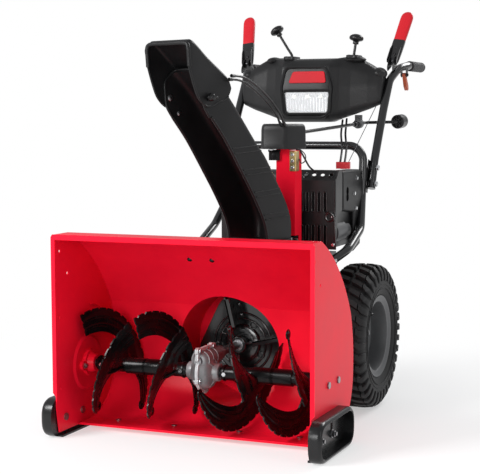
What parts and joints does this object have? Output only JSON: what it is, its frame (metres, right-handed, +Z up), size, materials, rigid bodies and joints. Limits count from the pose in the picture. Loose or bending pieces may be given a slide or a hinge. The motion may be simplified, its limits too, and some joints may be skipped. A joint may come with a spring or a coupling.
{
  "type": "snowblower",
  "caption": "Walk-behind petrol snowblower with serrated augers, impeller, turning discharge chute, lugged wheels and a lever console.",
  "frame": {"origin": "middle of the machine on the ground", "axes": "+Z up, -Y towards the auger housing, +Y towards the operator, +X to the operator's left"},
  "size_m": [0.784, 1.325, 1.1778],
  "materials": {
    "red_paint": "gloss powder coat",
    "black_paint": "semi-gloss powder coat",
    "grey_paint": "satin grey paint",
    "black_plastic": "fine grained moulding",
    "red_plastic": "smooth moulding",
    "orange_plastic": "smooth moulding",
    "grip_rubber": "fine grain",
    "tyre": "matt",
    "belt_rubber": "matt",
    "cable_jacket": "smooth jacket",
    "cast_aluminium": "as cast",
    "steel": "machined",
    "zinc": "yellow zinc plated",
    "lens": "clear moulded lens"
  },
  "bodies": {
    "machine": {"auger_housing": "red_paint", "housing_side_left": "red_paint", "housing_side_right": "red_paint", "impeller_drum": "red_paint", "scraper_bar": "red_paint", "housing_bolts": "zinc", "auger_bearings": "red_paint", "auger_gearbox": "cast_aluminium", "drive_belts": "belt_rubber", "chassis": "black_paint", "gear_cover": "black_plastic", "chute_column": "red_paint", "crank_eyelet": "grey_paint", "engine_block": "cast_aluminium", "muffler": "steel", "muffler_guard": "black_paint", "side_cover": "black_plastic", "electric_starter": "grey_paint", "engine_shroud": "black_plastic", "fuel_tank": "black_plastic", "belt_cover": "black_plastic", "lower_handle": "black_paint", "upper_handles": "black_paint", "grips": "grip_rubber", "console": "black_plastic", "headlight": "lens", "control_cables": "cable_jacket"},
    "auger": {"auger_left": "black_paint", "auger_right": "black_paint", "auger_shaft": "steel", "shear_pins": "zinc"},
    "fan": {"impeller": "black_paint", "impeller_shaft": "steel"},
    "crankshaft": {"crankshaft": "steel"},
    "drive_disc": {"drive_disc": "steel"},
    "cross_shaft": {"cross_shaft": "steel"},
    "friction_wheel": {"friction_wheel": "belt_rubber"},
    "axle_tube": {"axle_tube": "steel"},
    "wheel_left": {"rim_left": "grey_paint", "tyre_left": "tyre"},
    "wheel_right": {"rim_right": "grey_paint", "tyre_right": "tyre"},
    "skid_left": {"skid_shoe_left": "black_plastic"},
    "skid_right": {"skid_shoe_right": "black_plastic"},
    "chute": {"chute": "black_plastic", "chute_ring": "black_plastic", "deflector_knobs": "black_plastic", "pitch_cables": "cable_jacket"},
    "deflector": {"deflector": "black_plastic"},
    "chute_pinion": {"chute_pinion": "steel"},
    "crank": {"chute_crank": "black_paint"},
    "crank_knob": {"crank_knob": "black_plastic"},
    "fuel_cap": {"fuel_cap": "black_plastic"},
    "throttle_lever": {"throttle_lever": "red_plastic"},
    "clutch_left": {"clutch_lever_left": "red_plastic"},
    "clutch_right": {"clutch_lever_right": "red_plastic"},
    "trigger_left": {"steering_trigger_left": "orange_plastic"},
    "trigger_right": {"steering_trigger_right": "orange_plastic"},
    "shift_lever": {"shift_lever": "black_plastic"},
    "pitch_lever": {"pitch_lever": "black_plastic"}
  },
  "joints": [
    {"name": "auger_spin", "type": "hinge", "parent": "machine", "child": "auger", "pos_m": [0, -0.4725, 0.175], "axis": [1, 0, 0], "continuous": true},
    {"name": "impeller_spin", "type": "hinge", "parent": "machine", "child": "fan", "pos_m": [0, -0.3375, 0.209], "axis": [0, 1, 0], "continuous": true},
    {"name": "engine_spin", "type": "hinge", "parent": "machine", "child": "crankshaft", "pos_m": [0, -0.0375, 0.53], "axis": [0, 1, 0], "continuous": true},
    {"name": "drive_disc_spin", "type": "hinge", "parent": "machine", "child": "drive_disc", "pos_m": [0, -0.0575, 0.345], "axis": [0, 1, 0], "continuous": true},
    {"name": "cross_shaft_spin", "type": "hinge", "parent": "machine", "child": "cross_shaft", "pos_m": [0, 0.0345, 0.33], "axis": [1, 0, 0], "continuous": true},
    {"name": "axle_tube_spin", "type": "hinge", "parent": "machine", "child": "axle_tube", "pos_m": [0, 0.0375, 0.21], "axis": [1, 0, 0], "continuous": true},
    {"name": "friction_wheel_slide", "type": "slide", "parent": "cross_shaft", "child": "friction_wheel", "axis": [1, 0, 0], "range_m": [-0.085, 0.0425]},
    {"name": "wheel_left_spin", "type": "hinge", "parent": "machine", "child": "wheel_left", "pos_m": [0.275, 0.0375, 0.21], "axis": [1, 0, 0], "continuous": true},
    {"name": "wheel_right_spin", "type": "hinge", "parent": "machine", "child": "wheel_right", "pos_m": [-0.275, 0.0375, 0.21], "axis": [1, 0, 0], "continuous": true},
    {"name": "skid_left_height", "type": "slide", "parent": "machine", "child": "skid_left", "axis": [0, 0, 1], "range_m": [-0.025, 0]},
    {"name": "skid_right_height", "type": "slide", "parent": "machine", "child": "skid_right", "axis": [0, 0, 1], "range_m": [-0.025, 0]},
    {"name": "chute_rotate", "type": "hinge", "parent": "machine", "child": "chute", "pos_m": [0.07, -0.2495, 0.504], "axis": [0, 0, 1], "range_deg": [-100, 100]},
    {"name": "deflector_tilt", "type": "hinge", "parent": "chute", "child": "deflector", "pos_m": [-0.01931, -0.52436, 0.896], "axis": [0.9511, -0.309, 0], "range_deg": [0, 45]},
    {"name": "chute_pinion_spin", "type": "hinge", "parent": "machine", "child": "chute_pinion", "pos_m": [0.104, -0.143, 0.5], "axis": [0, 0, 1], "range_deg": [-460, 460]},
    {"name": "crank_turn", "type": "hinge", "parent": "machine", "child": "crank", "pos_m": [0.1046, -0.1205, 0.7965], "axis": [0.0874, 0.9948, 0.0516], "range_deg": [-650, 650]},
    {"name": "crank_knob_spin", "type": "hinge", "parent": "crank", "child": "crank_knob", "pos_m": [0.2549, 0.4405, 0.8276], "axis": [0.0874, 0.9948, 0.0516], "continuous": true},
    {"name": "fuel_cap_turn", "type": "hinge", "parent": "machine", "child": "fuel_cap", "pos_m": [-0.11, 0.0625, 0.7], "axis": [0, 0, 1], "range_deg": [0, 90]},
    {"name": "throttle_swing", "type": "hinge", "parent": "machine", "child": "throttle_lever", "pos_m": [0.206, 0.0605, 0.7], "axis": [0, 0, 1], "range_deg": [-25, 25]},
    {"name": "clutch_left_press", "type": "hinge", "parent": "machine", "child": "clutch_left", "pos_m": [0.247, 0.4245, 1.019], "axis": [1, 0, 0], "range_deg": [-45, 0], "stiffness_Nm_per_rad": 1.2, "springref_deg": 14.32},
    {"name": "clutch_right_press", "type": "hinge", "parent": "machine", "child": "clutch_right", "pos_m": [-0.247, 0.4245, 1.019], "axis": [1, 0, 0], "range_deg": [-45, 0], "stiffness_Nm_per_rad": 1.2, "springref_deg": 14.32},
    {"name": "trigger_left_squeeze", "type": "hinge", "parent": "machine", "child": "trigger_left", "pos_m": [0.27, 0.4725, 0.976], "axis": [1, 0, 0], "range_deg": [0, 20], "stiffness_Nm_per_rad": 0.2, "springref_deg": -17.19},
    {"name": "trigger_right_squeeze", "type": "hinge", "parent": "machine", "child": "trigger_right", "pos_m": [-0.27, 0.4725, 0.976], "axis": [1, 0, 0], "range_deg": [0, 20], "stiffness_Nm_per_rad": 0.2, "springref_deg": -17.19},
    {"name": "shift_lever_move", "type": "hinge", "parent": "machine", "child": "shift_lever", "pos_m": [-0.069, 0.3625, 0.985], "axis": [1, 0, 0], "range_deg": [-24, 12]},
    {"name": "pitch_lever_move", "type": "hinge", "parent": "machine", "child": "pitch_lever", "pos_m": [0.139, 0.3625, 0.985], "axis": [1, 0, 0], "range_deg": [-24, 0]}
  ],
  "couplings": [
    {"joint": "auger_spin", "follows": "impeller_spin", "ratio": 0.1},
    {"joint": "drive_disc_spin", "follows": "engine_spin", "ratio": 0.54839},
    {"joint": "axle_tube_spin", "follows": "cross_shaft_spin", "ratio": -0.50228},
    {"joint": "friction_wheel_slide", "follows": "shift_lever_move", "m_per_rad": 0.2},
    {"joint": "chute_pinion_spin", "follows": "chute_rotate", "ratio": -4.575},
    {"joint": "crank_turn", "follows": "chute_rotate", "ratio": 6.45},
    {"joint": "pitch_lever_move", "follows": "deflector_tilt", "ratio": -0.5}
  ]
}
